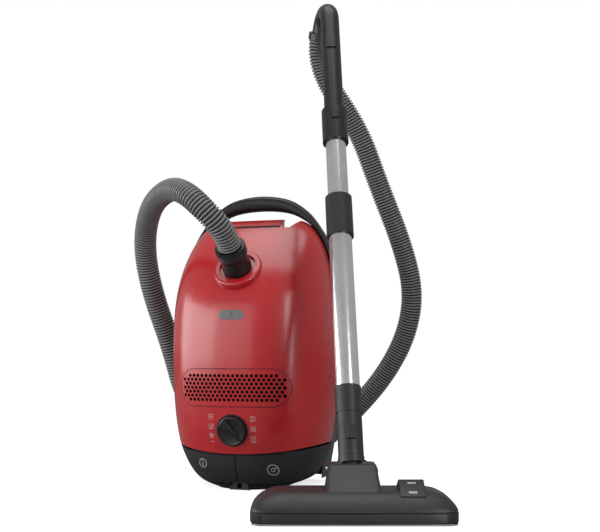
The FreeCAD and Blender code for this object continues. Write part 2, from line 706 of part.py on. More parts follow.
def makeFloorhead():
    local = {}
    across = (1, 0, 0)
    pin = (0, 0, pivot.z)
    block = box(-blockHalf, blockHalf, -20, 20, headTop - 6, blockTop)
    block = block.makeFillet(12, [e for e in block.Edges if e.CenterOfMass.z > blockTop - 0.1 and e.BoundBox.XLength > 50])
    cover = headForm(0).cut(headForm(headWall))
    cover = cut(cover, [box(-wide, wide, -100, 100, 0, 3.6)])
    rockerWell = box(rockerX - rockerHalf - 0.6, rockerX + rockerHalf + 0.6, soleY - 19, soleY + 21, 30, 60)
    slot = box(-blockSlot, blockSlot, -40, 40, 47, 90)
    passage = rod((0, 0, 0), (0, 0, 1), 14, 20, 50)
    cover = fuse([cover, block])
    well = box(rockerX - rockerHalf - 3, rockerX + rockerHalf + 3, soleY - 21, soleY + 23, 28, 41)
    rockerLine = (0, soleY + 1, 37)
    cover = fuse([cover, well])
    cover = cut(cover, [
        slot, passage, rockerWell,
        rod(pin, across, tiltPinR, -wide, wide),
        rod(rockerLine, across, 2.06, rockerX - 23, rockerX + 23),
    ])
    local["floorhead_cover"] = cover
    local["tilt_pin"] = rod(pin, across, tiltPinR, -blockHalf, blockHalf)
    sole = roundedBlock(headHalf - 3, headFront + 3, headBack - 3, soleBottom, 3.5, 13)
    mouth = box(-118, 118, soleY - 14, soleY + 8, 0, 10)
    brushRows = (soleY - 30, soleY + 24)
    brushSlots = [box(-126, 126, y, y + 5, 0, 10) for y in brushRows]
    rollerY = soleY + 40
    rollerSlots = [box(x - 7, x + 7, rollerY - 7, rollerY + 7, 0, 10) for x in (-100, 100)]
    local["sole_plate"] = cut(sole, [mouth] + brushSlots + rollerSlots)
    strips = [box(-125, 125, y + 0.6, y + 4.4, 2.2, 12) for y in brushRows]
    bridges = [box(x, x + 6, soleY - 30, soleY + 29, 9, 12) for x in (-124.5, 118.5)]
    local["brush_strips"] = fuse(strips + bridges)
    rocker = box(rockerX - rockerHalf, rockerX + rockerHalf, soleY - 18, soleY + 20, 38, 47)
    upper = [e for e in rocker.Edges if e.CenterOfMass.z > 46.9]
    rocker = rocker.makeChamfer(2.5, upper)
    rocker = rocker.cut(wedge())
    barrel = rod(rockerLine, across, 4, rockerX - 19, rockerX + 19)
    journals = rod(rockerLine, across, 2.0, rockerX - 22.5, rockerX + 22.5)
    local["rocker_pedal"] = fuse([rocker, barrel, journals])
    pins = []
    for name, x in (("left", -100), ("right", 100)):
        local[name + "_roller"] = tube((0, rollerY, rollerR), across, rollerR, 1.55, x - 5, x + 5)
        pins.append(rod((0, rollerY, rollerR), across, 1.5, x - 9, x + 9))
    local["roller_pins"] = Part.makeCompound(pins)
    turn = FreeCAD.Rotation(Vector(0, 0, 1), headYaw)
    frame = FreeCAD.Placement(Vector(pivot.x, pivot.y, 0), turn)
    for name, shape in local.items():
        nodes[name] = placed(shape, frame)


def wedge():
    """Lowers the front half of the rocker a little, as it lies pressed to one side."""
    front, back = soleY - 40, soleY + 1
    outline = [Vector(0, front, 44.5), Vector(0, back, 46.5), Vector(0, back, 60), Vector(0, front, 60)]
    face = Part.Face(Part.makePolygon(outline + outline[:1]))
    solid = face.extrude(Vector(60, 0, 0))
    solid.translate(Vector(rockerX - 30, 0, 0))
    return solid


os.makedirs("parts", exist_ok=True)
nodes["top_cover"] = makeCover()
nodes["lower_housing"] = makeHousing()
makeRearEnd()
makeCoverParts()
makeCarryHandle()
makeInside()
makeWheels()
makeHose()
makeWand()
makeFloorhead()
for name, shape in nodes.items():
    print(name, "solids", len(shape.Solids), "valid", shape.isValid(), "volume", round(shape.Volume / 1000, 1))
    shape.exportStep("parts/" + name + ".step")
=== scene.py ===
import json
import math

import bmesh
import bpy
from mathutils import Matrix, Vector


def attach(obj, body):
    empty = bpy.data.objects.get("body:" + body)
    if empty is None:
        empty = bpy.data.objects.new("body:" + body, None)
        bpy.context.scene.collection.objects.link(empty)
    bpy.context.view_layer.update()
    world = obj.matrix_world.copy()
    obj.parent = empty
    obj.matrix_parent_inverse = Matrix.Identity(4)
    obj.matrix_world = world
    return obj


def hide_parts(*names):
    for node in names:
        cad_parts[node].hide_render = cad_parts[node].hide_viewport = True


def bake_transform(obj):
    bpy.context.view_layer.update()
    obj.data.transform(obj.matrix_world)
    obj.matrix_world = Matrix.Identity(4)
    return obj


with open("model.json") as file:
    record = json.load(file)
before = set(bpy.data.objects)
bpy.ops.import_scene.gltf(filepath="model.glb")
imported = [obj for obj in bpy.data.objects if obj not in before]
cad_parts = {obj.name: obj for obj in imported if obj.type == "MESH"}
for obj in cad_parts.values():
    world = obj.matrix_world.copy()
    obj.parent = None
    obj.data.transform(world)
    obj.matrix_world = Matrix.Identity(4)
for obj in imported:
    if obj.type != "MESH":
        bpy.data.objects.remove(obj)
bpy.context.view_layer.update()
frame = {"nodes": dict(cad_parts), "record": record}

nodes = frame["nodes"]


# shader maths
# a shader output that adds, multiplies and compares like a number
class Socket:
    def __init__(self, tree, output):
        self.tree = tree
        self.output = output

    def maths(self, operation, other=0.0, flipped=False):
        maths = self.tree.nodes.new("ShaderNodeMath")
        maths.operation = operation
        values = (other, self) if flipped else (self, other)
        for place, value in enumerate(values):
            plug(self.tree, maths.inputs[place], value)
        return Socket(self.tree, maths.outputs[0])

    def __add__(self, other):
        return self.maths("ADD", other)

    def __radd__(self, other):
        return self.maths("ADD", other, flipped=True)

    def __sub__(self, other):
        return self.maths("SUBTRACT", other)

    def __rsub__(self, other):
        return self.maths("SUBTRACT", other, flipped=True)

    def __mul__(self, other):
        return self.maths("MULTIPLY", other)

    def __rmul__(self, other):
        return self.maths("MULTIPLY", other, flipped=True)

    def __truediv__(self, other):
        return self.maths("DIVIDE", other)

    def __rtruediv__(self, other):
        return self.maths("DIVIDE", other, flipped=True)


def plug(tree, slot, value):
    if isinstance(value, Socket):
        tree.links.new(value.output, slot)
    else:
        slot.default_value = value


# a material around one Principled shader, with short ways to add texture nodes
class Paint:
    def __init__(self, name, colour, roughness, **settings):
        self.material = bpy.data.materials.new(name)
        self.material.use_nodes = True
        self.tree = self.material.node_tree
        self.shader = self.tree.nodes["Principled BSDF"]
        self.colour = colour
        self.set("Base Color", (*colour, 1))
        self.set("Roughness", roughness)
        for key, value in settings.items():
            self.set(key.replace("_", " "), value)

    def set(self, slot, value):
        plug(self.tree, self.shader.inputs[slot], value)

    def node(self, kind, output=0, inputs=None, **settings):
        made = self.tree.nodes.new("ShaderNode" + kind)
        for key, value in settings.items():
            setattr(made, key, value)
        for key, value in (inputs or {}).items():
            plug(self.tree, made.inputs[key], value)
        return Socket(self.tree, made.outputs[output])

    def place(self, stretch=(1, 1, 1)):
        where = self.node("TexCoord", "Object")
        return self.node("Mapping", inputs={"Vector": where, "Scale": stretch})

    def noise(self, scale, detail=3.0, rough=0.55, stretch=(1, 1, 1)):
        inputs = {"Vector": self.place(stretch), "Scale": scale, "Detail": detail, "Roughness": rough}
        return self.node("TexNoise", "Fac", inputs)

    def cells(self, scale, stretch=(1, 1, 1)):
        inputs = {"Vector": self.place(stretch), "Scale": scale}
        return self.node("TexVoronoi", "Distance", inputs)

    def ramp(self, value, low, high, start=0.0, end=1.0):
        inputs = {"Value": value, "From Min": low, "From Max": high, "To Min": start, "To Max": end}
        return self.node("MapRange", "Result", inputs)

    def mix(self, factor, first, second):
        mixer = self.tree.nodes.new("ShaderNodeMix")
        mixer.data_type = "RGBA"
        for slot, value in ((0, factor), (6, first), (7, second)):
            plug(self.tree, mixer.inputs[slot], value if isinstance(value, (Socket, float)) else (*value, 1))
        return Socket(self.tree, mixer.outputs[2])

    def vary(self, factor, darker, lighter):
        first = [c * darker for c in self.colour]
        second = [min(1, c * lighter) for c in self.colour]
        self.set("Base Color", self.mix(factor, first, second))

    def bump(self, height, distance, strength=1.0):
        inputs = {"Height": height, "Distance": distance, "Strength": strength}
        self.set("Normal", self.node("Bump", "Normal", inputs))


# painted or high-gloss moulding: clear coat, faint ripple and a little dust
def lacquer(name, colour, roughness, coat):
    paint = Paint(name, colour, roughness, Coat_Weight=coat, Coat_Roughness=0.2)
    dust = paint.noise(38, 6, 0.7)
    paint.vary(paint.ramp(dust, 0.3, 0.7), 0.94, 1.05)
    paint.set("Roughness", paint.ramp(dust, 0.35, 0.75, roughness * 0.9, roughness * 1.25))
    paint.bump(paint.noise(55, 2), 0.00008, 0.5)
    return paint.material


# spark-eroded plastic: fine grain, uneven sheen and slightly paler rubbed patches
def moulded(name, colour, roughness, grain=900, depth=0.00009):
    paint = Paint(name, colour, roughness)
    sheen = paint.noise(24, 5, 0.62)
    paint.vary(paint.ramp(sheen, 0.3, 0.75), 0.88, 1.14)
    paint.set("Roughness", paint.ramp(sheen, 0.3, 0.75, roughness - 0.06, roughness + 0.08))
    height = paint.cells(grain) + paint.noise(grain * 0.6, 2) * 0.6
    paint.bump(height, depth, 0.45)
    return paint.material


# drawn tube: long fine streaks along the metal, with faint smears
def metal(name, colour, roughness, stretch):
    paint = Paint(name, colour, roughness, Metallic=1.0)
    streaks = paint.noise(420, 3, 0.6, stretch)
    smears = paint.noise(16, 4)
    paint.vary(paint.ramp(smears, 0.3, 0.7), 0.93, 1.04)
    paint.set("Roughness", paint.ramp(streaks, 0.3, 0.7, roughness * 0.75, roughness * 1.3) + smears * 0.04)
    paint.bump(streaks, 0.00003, 0.25)
    return paint.material


def fibre(name, colour):
    paint = Paint(name, colour, 0.9)
    weave = paint.noise(700, 4, 0.7)
    paint.vary(weave, 0.8, 1.15)
    paint.bump(weave, 0.0003, 0.6)
    return paint.material


# hose plastic, dark in the grooves as painted shade and dull there, paler on the crests as painted highlight and
# rubbed there by random wear
def ribbed(name, litCrestColour, shadedGrooveColour):
    paint = Paint(name, litCrestColour, 0.4)
    crest = paint.node("Attribute", "Fac", attribute_name="crest")
    wear = paint.noise(60, 5, 0.65)
    # crest height mixes the groove colour (painted shade) with the crest colour (painted highlight); the noise adds
    # random rubbed wear
    paintedLightAndWear = paint.ramp(crest + wear * 0.16, 0.3, 0.95)
    paint.set("Base Color", paint.mix(paintedLightAndWear, shadedGrooveColour, litCrestColour))
    paint.set("Roughness", paint.ramp(crest + wear * 0.2, 0.2, 1.1, 0.62, 0.34))
    paint.bump(paint.noise(900, 2), 0.00005, 0.4)
    return paint.material


def smoked(name):
    paint = Paint(name, (0.09, 0.095, 0.1), 0.12, Coat_Weight=0.6)
    haze = paint.noise(90, 4)
    paint.vary(haze, 0.8, 1.3)
    paint.set("Roughness", paint.ramp(haze, 0.3, 0.7, 0.08, 0.18))
    return paint.material


finishes = {
    "red_cover": lacquer("red lacquer", (0.5, 0.011, 0.015), 0.3, 0.7),
    "black_plastic": moulded("black satin plastic", (0.011, 0.011, 0.012), 0.36, 1300, 0.00004),
    "grey_housing": moulded("grey housing plastic", (0.07, 0.071, 0.074), 0.46),
    "dark_plastic": moulded("dark grey plastic", (0.02, 0.02, 0.0215), 0.44),
    # hose colours: the first is the paler crest tone, a painted highlight; the second is painted shade for the
    # grooves
    "hose_plastic": ribbed("hose plastic", (0.2, 0.2, 0.205), (0.012, 0.012, 0.013)),
    "chrome_tube": metal("polished steel tube", (0.9, 0.9, 0.91), 0.18, (1, 1, 0.02)),
    "steel": metal("brushed steel", (0.5, 0.5, 0.51), 0.32, (0.05, 1, 1)),
    "rubber": moulded("black rubber", (0.02, 0.02, 0.021), 0.7, 500, 0.0002),
    "paper_bag": fibre("bag fleece", (0.62, 0.57, 0.48)),
    "filter_foam": fibre("charcoal filter fleece", (0.02, 0.02, 0.02)),
    "copper_motor": metal("motor windings", (0.35, 0.16, 0.08), 0.4, (1, 1, 0.1)),
    "board_green": lacquer("circuit board", (0.02, 0.12, 0.05), 0.4, 0.3),
    "smoked_window": smoked("smoked window"),
    "bristle": fibre("brush bristle", (0.03, 0.03, 0.03)),
}
slots = {part["node"]: part["material_slot"] for part in frame["record"]["subparts"]}
for name, thing in nodes.items():
    thing.data.materials.clear()
    thing.data.materials.append(finishes[slots[name]])
print("finishes on", len(nodes), "CAD nodes")


# camera and stage
def makeCamera():
    camera = bpy.data.objects.new("camera", bpy.data.cameras.new("camera"))
    bpy.context.scene.collection.objects.link(camera)
    camera.location = (0.592, -1.671, 0.233)
    camera.rotation_euler = (math.radians(94.8), 0, math.radians(17))
    camera.data.lens = 60
    camera.data.sensor_width = 36
    bpy.context.scene.camera = camera


def areaLight(name, place, target, size, power):
    light = bpy.data.lights.new(name, "AREA")
    light.shape = "RECTANGLE"
    light.size, light.size_y = size
    light.energy = power
    thing = bpy.data.objects.new(name, light)
    bpy.context.scene.collection.objects.link(thing)
    thing.location = place
    thing.rotation_euler = (Vector(target) - Vector(place)).to_track_quat("-Z", "Y").to_euler()


stage = dict(ambient=0.34, floorGlow=0.72, floorColour=0.9, floorBounce=0.28)
lights = {
    "left softbox": ((-1.85, -1.05, 0.56), (0, 0, 0.25), (2.5, 1.1), 30),
    "front fill": ((-0.85, -2.35, 0.7), (0.1, 0, 0.4), (1.3, 1.5), 7),
    "right strip": ((1.55, -1.3, 0.75), (0.1, 0, 0.35), (0.5, 1.45), 12),
    "top": ((0.1, -0.2, 2.3), (0.1, 0, 0.2), (1.8, 1.4), 18),
}


def makeStage():
    bpy.ops.mesh.primitive_plane_add(size=60)
    floor = bpy.context.object
    floor.name = "floor"
    paint = Paint("studio floor", (stage["floorColour"],) * 3, 0.8, Specular_IOR_Level=0.1)
    paint.vary(paint.noise(3, 3), 0.99, 1.01)
    tree = paint.tree
    glow = paint.node("Emission", "Emission", {"Color": (1, 1, 1, 1), "Strength": stage["floorGlow"]})
    lit = paint.node("AddShader", "Shader", {0: glow, 1: Socket(tree, paint.shader.outputs[0])})
    dull = paint.node("BsdfDiffuse", "BSDF", {"Color": (*(stage["floorBounce"],) * 3, 1)})
    seen = paint.node("LightPath", "Is Camera Ray")
    both = paint.node("MixShader", "Shader", {0: seen, 1: dull, 2: lit})
    tree.links.new(both.output, tree.nodes["Material Output"].inputs["Surface"])
    floor.data.materials.append(paint.material)
    world = bpy.data.worlds.new("studio")
    world.use_nodes = True
    tree = world.node_tree
    seen = tree.nodes.new("ShaderNodeLightPath").outputs["Is Camera Ray"]
    strength = Socket(tree, seen) * (1 - stage["ambient"]) + stage["ambient"]
    tree.nodes["Background"].inputs["Color"].default_value = (1, 1, 1, 1)
    plug(tree, tree.nodes["Background"].inputs["Strength"], strength)
    bpy.context.scene.world = world
    bpy.context.scene.view_settings.view_transform = "Standard"
    for name, (place, target, size, power) in lights.items():
        areaLight(name, place, target, size, power)


makeCamera()
makeStage()


# hose
hoseTube = dict(radius=0.02, groove=0.0165, pitch=0.0054, around=28)
hoseFront = [
    (0.0, -0.1325, 0.4037),
    (0.0, -0.158, 0.4262),
    (-0.024, -0.18, 0.458),
    (-0.06, -0.176, 0.49),
    (-0.112, -0.126, 0.508),
    (-0.178, -0.064, 0.488),
    (-0.212, -0.018, 0.424),
    (-0.212, 0.02, 0.34),
    (-0.19, 0.062, 0.24),
    (-0.176, 0.097, 0.14),
    (-0.158, 0.136, 0.096),
]
hoseRear = [
    (-0.158, 0.136, 0.096),
    (-0.14, 0.175, 0.052),
    (-0.095, 0.232, 0.022),
    (-0.03, 0.274, 0.022),
    (0.04, 0.296, 0.048),
    (0.112, 0.292, 0.118),
    (0.172, 0.28, 0.184),
    (0.218, 0.266, 0.262),
    (0.237, 0.246, 0.346),
    (0.219, 0.216, 0.44),
    (0.184, 0.178, 0.545),
    (0.154, 0.138, 0.65),
    (0.0865, 0.0848, 0.7575),
    (0.0999, 0.0656, 0.8028),
]


# points along the smooth NURBS curve that has these control points
def splineLine(points):
    curve = bpy.data.curves.new("route", "CURVE")
    curve.dimensions = "3D"
    spline = curve.splines.new("NURBS")
    spline.points.add(len(points) - 1)
    for point, place in zip(spline.points, points):
        point.co = (*place, 1)
    spline.order_u = 3
    spline.use_endpoint_u = True
    spline.resolution_u = 24
    route = bpy.data.objects.new("route", curve)
    bpy.context.scene.collection.objects.link(route)
    line = bpy.data.meshes.new_from_object(route)
    places = [vertex.co.copy() for vertex in line.vertices]
    bpy.data.objects.remove(route)
    return places


# the same line walked in equal steps, with the direction at each place
def evenly(line, step):
    lengths = [0.0]
    for before, after in zip(line, line[1:]):
        lengths.append(lengths[-1] + (after - before).length)
    count = round(lengths[-1] / step)
    places = []
    run = 0
    for index in range(count + 1):
        at = lengths[-1] * index / count
        while run < len(line) - 2 and lengths[run + 1] < at:
            run += 1
        share = (at - lengths[run]) / (lengths[run + 1] - lengths[run])
        places.append(line[run].lerp(line[run + 1], share))
    return places, lengths[-1]


def corrugated(name, points):
    profile = [(0.0, 0.0), (0.14, 0.25), (0.26, 0.85), (0.4, 1.0), (0.6, 1.0), (0.74, 0.85), (0.86, 0.25)]
    line = splineLine(points)
    fine, length = evenly(line, hoseTube["pitch"] / 10)
    ribs = round(length / hoseTube["pitch"])
    verts, faces, crests = [], [], []
    tangent = (fine[1] - fine[0]).normalized()
    side = tangent.orthogonal().normalized()
    rings = []
    for rib in range(ribs):
        rings += [((rib + share) / ribs, height) for share, height in profile]
    rings.append((1.0, 0.0))
    around = hoseTube["around"]
    for share, height in rings:
        at = share * (len(fine) - 1)
        index = min(int(at), len(fine) - 2)
        centre = fine[index].lerp(fine[index + 1], at - index)
        tangent = (fine[index + 1] - fine[index]).normalized()
        side = (side - tangent * side.dot(tangent)).normalized()
        other = tangent.cross(side)
        radius = hoseTube["groove"] + (hoseTube["radius"] - hoseTube["groove"]) * height
        for turn in range(around):
            angle = 2 * math.pi * turn / around
            verts.append(centre + (side * math.cos(angle) + other * math.sin(angle)) * radius)
            crests.append(height)
    for ring in range(len(rings) - 1):
        for turn in range(around):
            a = ring * around + turn
            b = ring * around + (turn + 1) % around
            faces.append((a, b, b + around, a + around))
    faces.append(tuple(reversed(range(around))))
    faces.append(tuple(range((len(rings) - 1) * around, len(rings) * around)))
    mesh = bpy.data.meshes.new(name)
    mesh.from_pydata(verts, [], faces)
    layer = mesh.attributes.new("crest", "FLOAT", "POINT")
    layer.data.foreach_set("value", crests)
    mesh.materials.append(finishes["hose_plastic"])
    mesh.polygons.foreach_set("use_smooth", [True] * len(mesh.polygons))
    hose = bpy.data.objects.new(name, mesh)
    bpy.context.scene.collection.objects.link(hose)
    return hose, line, length


def makeHose():
    front, line, length = corrugated("corrugated_hose_front", hoseFront)
    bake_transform(front)
    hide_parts("hose_front")
    rear, line, length = corrugated("corrugated_hose_rear", hoseRear)
    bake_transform(rear)
    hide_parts("hose_rear")
    print("hose stretches made")


makeHose()


# making pieces
def deselect():
    bpy.ops.object.select_all(action="DESELECT")


def applied(piece):
    deselect()
    piece.select_set(True)
    bpy.context.view_layer.objects.active = piece
    for modifier in list(piece.modifiers):
        bpy.ops.object.modifier_apply(modifier=modifier.name)


def bevelled(piece, width, segments=3, angle=40):
    bevel = piece.modifiers.new("bevel", "BEVEL")
    bevel.width = width
    bevel.segments = segments
    bevel.limit_method = "ANGLE"
    bevel.angle_limit = math.radians(angle)
    applied(piece)


# names a piece made at the origin, moves its mesh into the row frame and lets it ride
def finishPiece(piece, name, slot, body, frameAt=None):
    deselect()
    piece.select_set(True)
    bpy.context.view_layer.objects.active = piece
    bpy.ops.object.transform_apply(location=True, rotation=True, scale=True)
    bpy.ops.object.shade_smooth_by_angle(angle=math.radians(35))
    if frameAt is not None:
        piece.data.transform(frameAt)
    piece.name = name
    piece.data.materials.clear()
    piece.data.materials.append(finishes[slot])
    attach(piece, body)
    return piece


def joined(pieces):
    deselect()
    for piece in pieces:
        piece.select_set(True)
    bpy.context.view_layer.objects.active = pieces[0]
    bpy.ops.object.join()
    return bpy.context.object


def block(size, at=(0, 0, 0)):
    bpy.ops.mesh.primitive_cube_add(size=1, location=at, scale=size)
    piece = bpy.context.object
    bpy.ops.object.transform_apply(location=True, rotation=True, scale=True)
    return piece


def disc(radius, depth, at=(0, 0, 0), around=96):
    bpy.ops.mesh.primitive_cylinder_add(vertices=around, radius=radius, depth=depth, location=at)
    piece = bpy.context.object
    bpy.ops.object.transform_apply(location=True, rotation=True, scale=True)
    return piece


# closed body of revolution about Z through (radius, height) points
def turned(name, profile, around=96):
    bpy.ops.mesh.primitive_circle_add(vertices=around, radius=profile[0][0], location=(0, 0, profile[0][1]))
    piece = bpy.context.object
    bpy.ops.object.transform_apply(location=True, rotation=True, scale=True)
    bpy.ops.object.mode_set(mode="EDIT")
    bpy.ops.mesh.select_all(action="SELECT")
    radius, height = profile[0]
    for newRadius, newHeight in profile[1:]:
        ratio = newRadius / radius
        bpy.ops.mesh.extrude_region_move(TRANSFORM_OT_translate={"value": (0, 0, newHeight - height)})
        bpy.ops.transform.resize(value=(ratio, ratio, 1), center_override=(0, 0, 0))
        radius, height = newRadius, newHeight
    bpy.ops.mesh.select_all(action="SELECT")
    bpy.ops.mesh.normals_make_consistent(inside=False)
    bpy.ops.object.mode_set(mode="OBJECT")
    piece.name = name
    return piece


# the same, joined back to its first ring, as for a hollow cuff
def closedTurned(name, profile, around=96):
    piece = turned(name, profile + [profile[0]], around)
    bpy.ops.object.mode_set(mode="EDIT")
    bpy.ops.mesh.select_all(action="SELECT")
    bpy.ops.mesh.remove_doubles(threshold=1e-6)
    bpy.ops.mesh.normals_make_consistent(inside=False)
    bpy.ops.object.mode_set(mode="OBJECT")
    return piece


# matrix whose Z is the axis and whose Y leans towards up, at the point
def axisFrame(point, axis, up=(0, 0, 1)):
    z = Vector(axis).normalized()
    x = Vector(up).cross(z).normalized()
    y = z.cross(x)
    return Matrix.Translation(Vector(point)) @ Matrix((x, y, z)).transposed().to_4x4()


# power dial
dial = dict(point=(0, -0.1165, 0.101), axis=(0, -0.98, -0.2), radius=0.0243, rise=0.007)


def makeDial():
    r, top = dial["radius"], dial["rise"]
    stem, under = 0.004, -0.0055  # spindle radius, underside of the knob
    knob = turned("knob", [(stem, -0.024), (stem, under), (r, under), (r, top - 0.002),
                           (r - 0.0006, top - 0.0006), (r - 0.002, top), (r - 0.0034, top - 0.0006),
                           (stem, top - 0.0016), (0.0001, top - 0.0016)])
    pointer = block((0.02, 2 * r - 0.006, 0.0068), (0, 0.0004, top + 0.001))
    bpy.ops.object.mode_set(mode="EDIT")
    mesh = bmesh.from_edit_mesh(pointer.data)
    for vertex in mesh.verts:
        if vertex.co.y < 0:
            vertex.co.x *= 0.18
            vertex.co.z -= 0.0032 if vertex.co.z > top else 0
        elif vertex.co.z > top:
            vertex.co.x *= 0.78
    bmesh.update_edit_mesh(pointer.data)
    bpy.ops.object.mode_set(mode="OBJECT")
    bevelled(pointer, 0.0009, 3)
    pointer.data.transform(Matrix.Rotation(math.radians(45), 4, "Z"))
    piece = joined([knob, pointer])
    finishPiece(piece, "dial_knob", "black_plastic", "dial", axisFrame(dial["point"], dial["axis"]))
    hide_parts("power_dial")


# printed marks, laid on the moulding behind them
markFinish = lacquer("printed mark", (0.75, 0.55, 0.55), 0.5, 0.0)
paleMark = lacquer("pale mark", (0.62, 0.62, 0.63), 0.5, 0.0)


def ringShape(radius, width, around=64):
    inner = radius - width
    return closedTurned("ring", [(radius, 0), (radius, 0.0002), (inner, 0.0002), (inner, 0)], around)


def bar(x0, x1, y0, y1):
    piece = block((x1 - x0, y1 - y0, 0.0002), ((x0 + x1) / 2, (y0 + y1) / 2, 0.0001))
    subdivide = piece.modifiers.new("cuts", "SUBSURF")
    subdivide.subdivision_type = "SIMPLE"
    subdivide.levels = 2
    applied(piece)
    return piece


# faces the flat mark to -Y in front of the moulding and presses it onto it
def layMark(pieces, name, finish, body, behind, x, z):
    mark = joined(pieces)
    mark.data.transform(Matrix.Translation((x, -0.3, z)) @ Matrix.Rotation(math.radians(90), 4, "X"))
    wrap = mark.modifiers.new("wrap", "SHRINKWRAP")
    wrap.target = nodes[behind]
    wrap.wrap_method = "PROJECT"
    wrap.use_project_y = True
    wrap.use_project_x = wrap.use_project_z = False
    wrap.use_positive_direction = True
    wrap.use_negative_direction = False
    wrap.offset = 0.00012
    applied(mark)
    mark.name = name
    mark.data.materials.clear()
    mark.data.materials.append(finish)
    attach(mark, body)


def makePedalMarks():
    layMark([ringShape(0.0078, 0.0011), bar(-0.0006, 0.0006, -0.0045, 0.0045)],
            "power_mark", paleMark, "power_key", "power_pedal", -0.061, 0.044)
    swirl = [ringShape(0.0092, 0.0011), ringShape(0.0034, 0.001), bar(0.0022, 0.0064, 0.0024, 0.0036)]
    layMark(swirl, "rewind_mark", paleMark, "rewind_key", "rewind_pedal", 0.062, 0.036)


# one small square floor-type mark: a frame holding bars, a ring or dots
def floorMark(kind):
    edge, line = 0.0042, 0.0007
    if kind == "curtain":
        return [bar(-edge, -edge + line, -edge, edge), bar(edge - line, edge, -edge, edge),
                bar(-edge, edge, edge - line, edge), bar(-0.0012, 0.0012, -edge, edge - 0.0015)]
    outline = [bar(-edge, edge, edge - line, edge), bar(-edge, edge, -edge, -edge + line),
               bar(-edge, -edge + line, -edge, edge), bar(edge - line, edge, -edge, edge)]
    if kind == "bars":
        outline += [bar(-0.003, 0.003, y, y + 0.0008) for y in (-0.0022, -0.0004, 0.0014)]
    elif kind == "ring":
        outline.append(ringShape(0.0025, 0.0008, 32))
    elif kind == "grid":
        outline += [bar(-0.0004, 0.0004, -0.003, 0.003), bar(-0.003, 0.003, -0.0004, 0.0004)]
    return outline


def makeDialMarks():
    rows = [(-0.0375, 0.1232, "grid"), (-0.0375, 0.107, "ring"), (-0.037, 0.0915, "curtain"),
            (0.036, 0.1205, "ring"), (0.036, 0.104, "bars"), (0.0355, 0.088, "grid")]
    for index, (x, z, kind) in enumerate(rows):
        layMark(floorMark(kind), "dial_mark_%d" % (index + 1), markFinish, "cover", "top_cover",
                x, z)
    for index, x in enumerate((-0.0365, 0.035)):
        layMark([bar(-0.0035, 0.0035, -0.0005, 0.0005)], "end_mark_%d" % (index + 1), markFinish, "cover",
                "top_cover", x, 0.082)


makeDial()
makePedalMarks()
makeDialMarks()
print("dial and marks made")


# floorhead
headFrame = Matrix.Translation((0.244, -0.283, 0)) @ Matrix.Rotation(math.radians(17), 4, "Z")


# closed body of rounded-rectangle rings: (height, half width, front, back), from the bottom up
def stacked(name, rings, fullness, around=120):
    verts, faces = [], []
    for height, half, front, back in rings:
        for turn in range(around):
            angle = 2 * math.pi * turn / around
            reach = [math.copysign(abs(f(angle)) ** (2 / fullness), f(angle)) for f in (math.cos, math.sin)]
            y = (front + back) / 2 + reach[1] * (back - front) / 2
            verts.append((half * reach[0], y, height))
    for ring in range(len(rings) - 1):
        for turn in range(around):
            a = ring * around + turn
            b = ring * around + (turn + 1) % around
            faces.append((a, b, b + around, a + around))
    faces.append(tuple(reversed(range(around))))
    faces.append(tuple(range((len(rings) - 1) * around, len(rings) * around)))
    mesh = bpy.data.meshes.new(name)
    mesh.from_pydata(verts, [], faces)
    piece = bpy.data.objects.new(name, mesh)
    bpy.context.scene.collection.objects.link(piece)
    return piece


def carve(piece, cutters):
    for cutter in cutters:
        boolean = piece.modifiers.new("carve", "BOOLEAN")
        boolean.operation = "DIFFERENCE"
        boolean.object = cutter
        boolean.solver = "EXACT"
        applied(piece)
        bpy.data.objects.remove(cutter)


def makeFloorhead():
    mm = 0.001
    body = stacked("floorhead_shell", [[v * mm for v in ring] for ring in (
        (3.6, 139.6, -86.8, 26.8), (4.4, 140.6, -87.6, 27.6), (15.6, 140.8, -87.8, 27.8), (16.6, 140.2, -87.2, 27.2),
        (16.9, 139.2, -86.2, 26.2), (17.5, 139.2, -86.2, 26.2), (17.8, 140.2, -87.2, 27.2), (19.5, 140.2, -87, 27),
        (24, 138, -84, 25), (29, 134, -80, 22), (34, 128, -75, 18), (38, 121, -70, 14),
        (41, 114, -65, 10), (42.4, 108, -60, 6), (43, 100, -54, 0))], 7, 160)
    hump = stacked("floorhead_hinge_block", [[v * mm for v in ring] for ring in (
        (17.8, 41.5, -87.4, 20), (19, 41.3, -87.8, 20), (30, 39.8, -76, 20), (45, 37.6, -58, 20),
        (60, 35.4, -41, 20), (70, 34, -31, 19.5), (73.4, 33.2, -27.5, 18.5), (74.6, 32, -25, 17), (75, 30, -22, 15))], 12)
    carve(body, [block((0.236, 0.022, 0.03), (0, -0.033, 0.012))])
    carve(hump, [block((0.043, 0.09, 0.05), (0, 0.028, 0.072)), block((0.05, 0.03, 0.05), (0, 0.0, 0.018))])
    for piece, name in ((body, "floorhead_shell"), (hump, "floorhead_hinge_block")):
        bevelled(piece, 0.0006, 2, 50)
        finishPiece(piece, name, "dark_plastic", "head", headFrame)
    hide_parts("floorhead_cover")


# carry handle
carry = dict(front=0.014, back=0.044,
             outer=[(0.1445, 0.335), (0.138, 0.38), (0.127, 0.42), (0.112, 0.448),
                    (0.088, 0.479), (0.052, 0.502), (0, 0.51)],
             inner=[(0.1405, 0.335), (0.1325, 0.38), (0.119, 0.42), (0.103, 0.446),
                    (0.076, 0.467), (0.045, 0.479), (0, 0.483)])


# catmull-Rom place on a list of points; at runs from 0 to the number of spans
def through(points, at):
    span = min(int(at), len(points) - 2)
    share = at - span
    near = [Vector(points[max(0, min(len(points) - 1, span + k))]) for k in (-1, 0, 1, 2)]
    a, b, c, d = near
    return 0.5 * (2 * b + (c - a) * share + (2 * a - 5 * b + 4 * c - d) * share ** 2
                  + (3 * b - a - 3 * c + d) * share ** 3)


def mirrored(half):
    return half + [(-x, z) for x, z in reversed(half[:-1])]


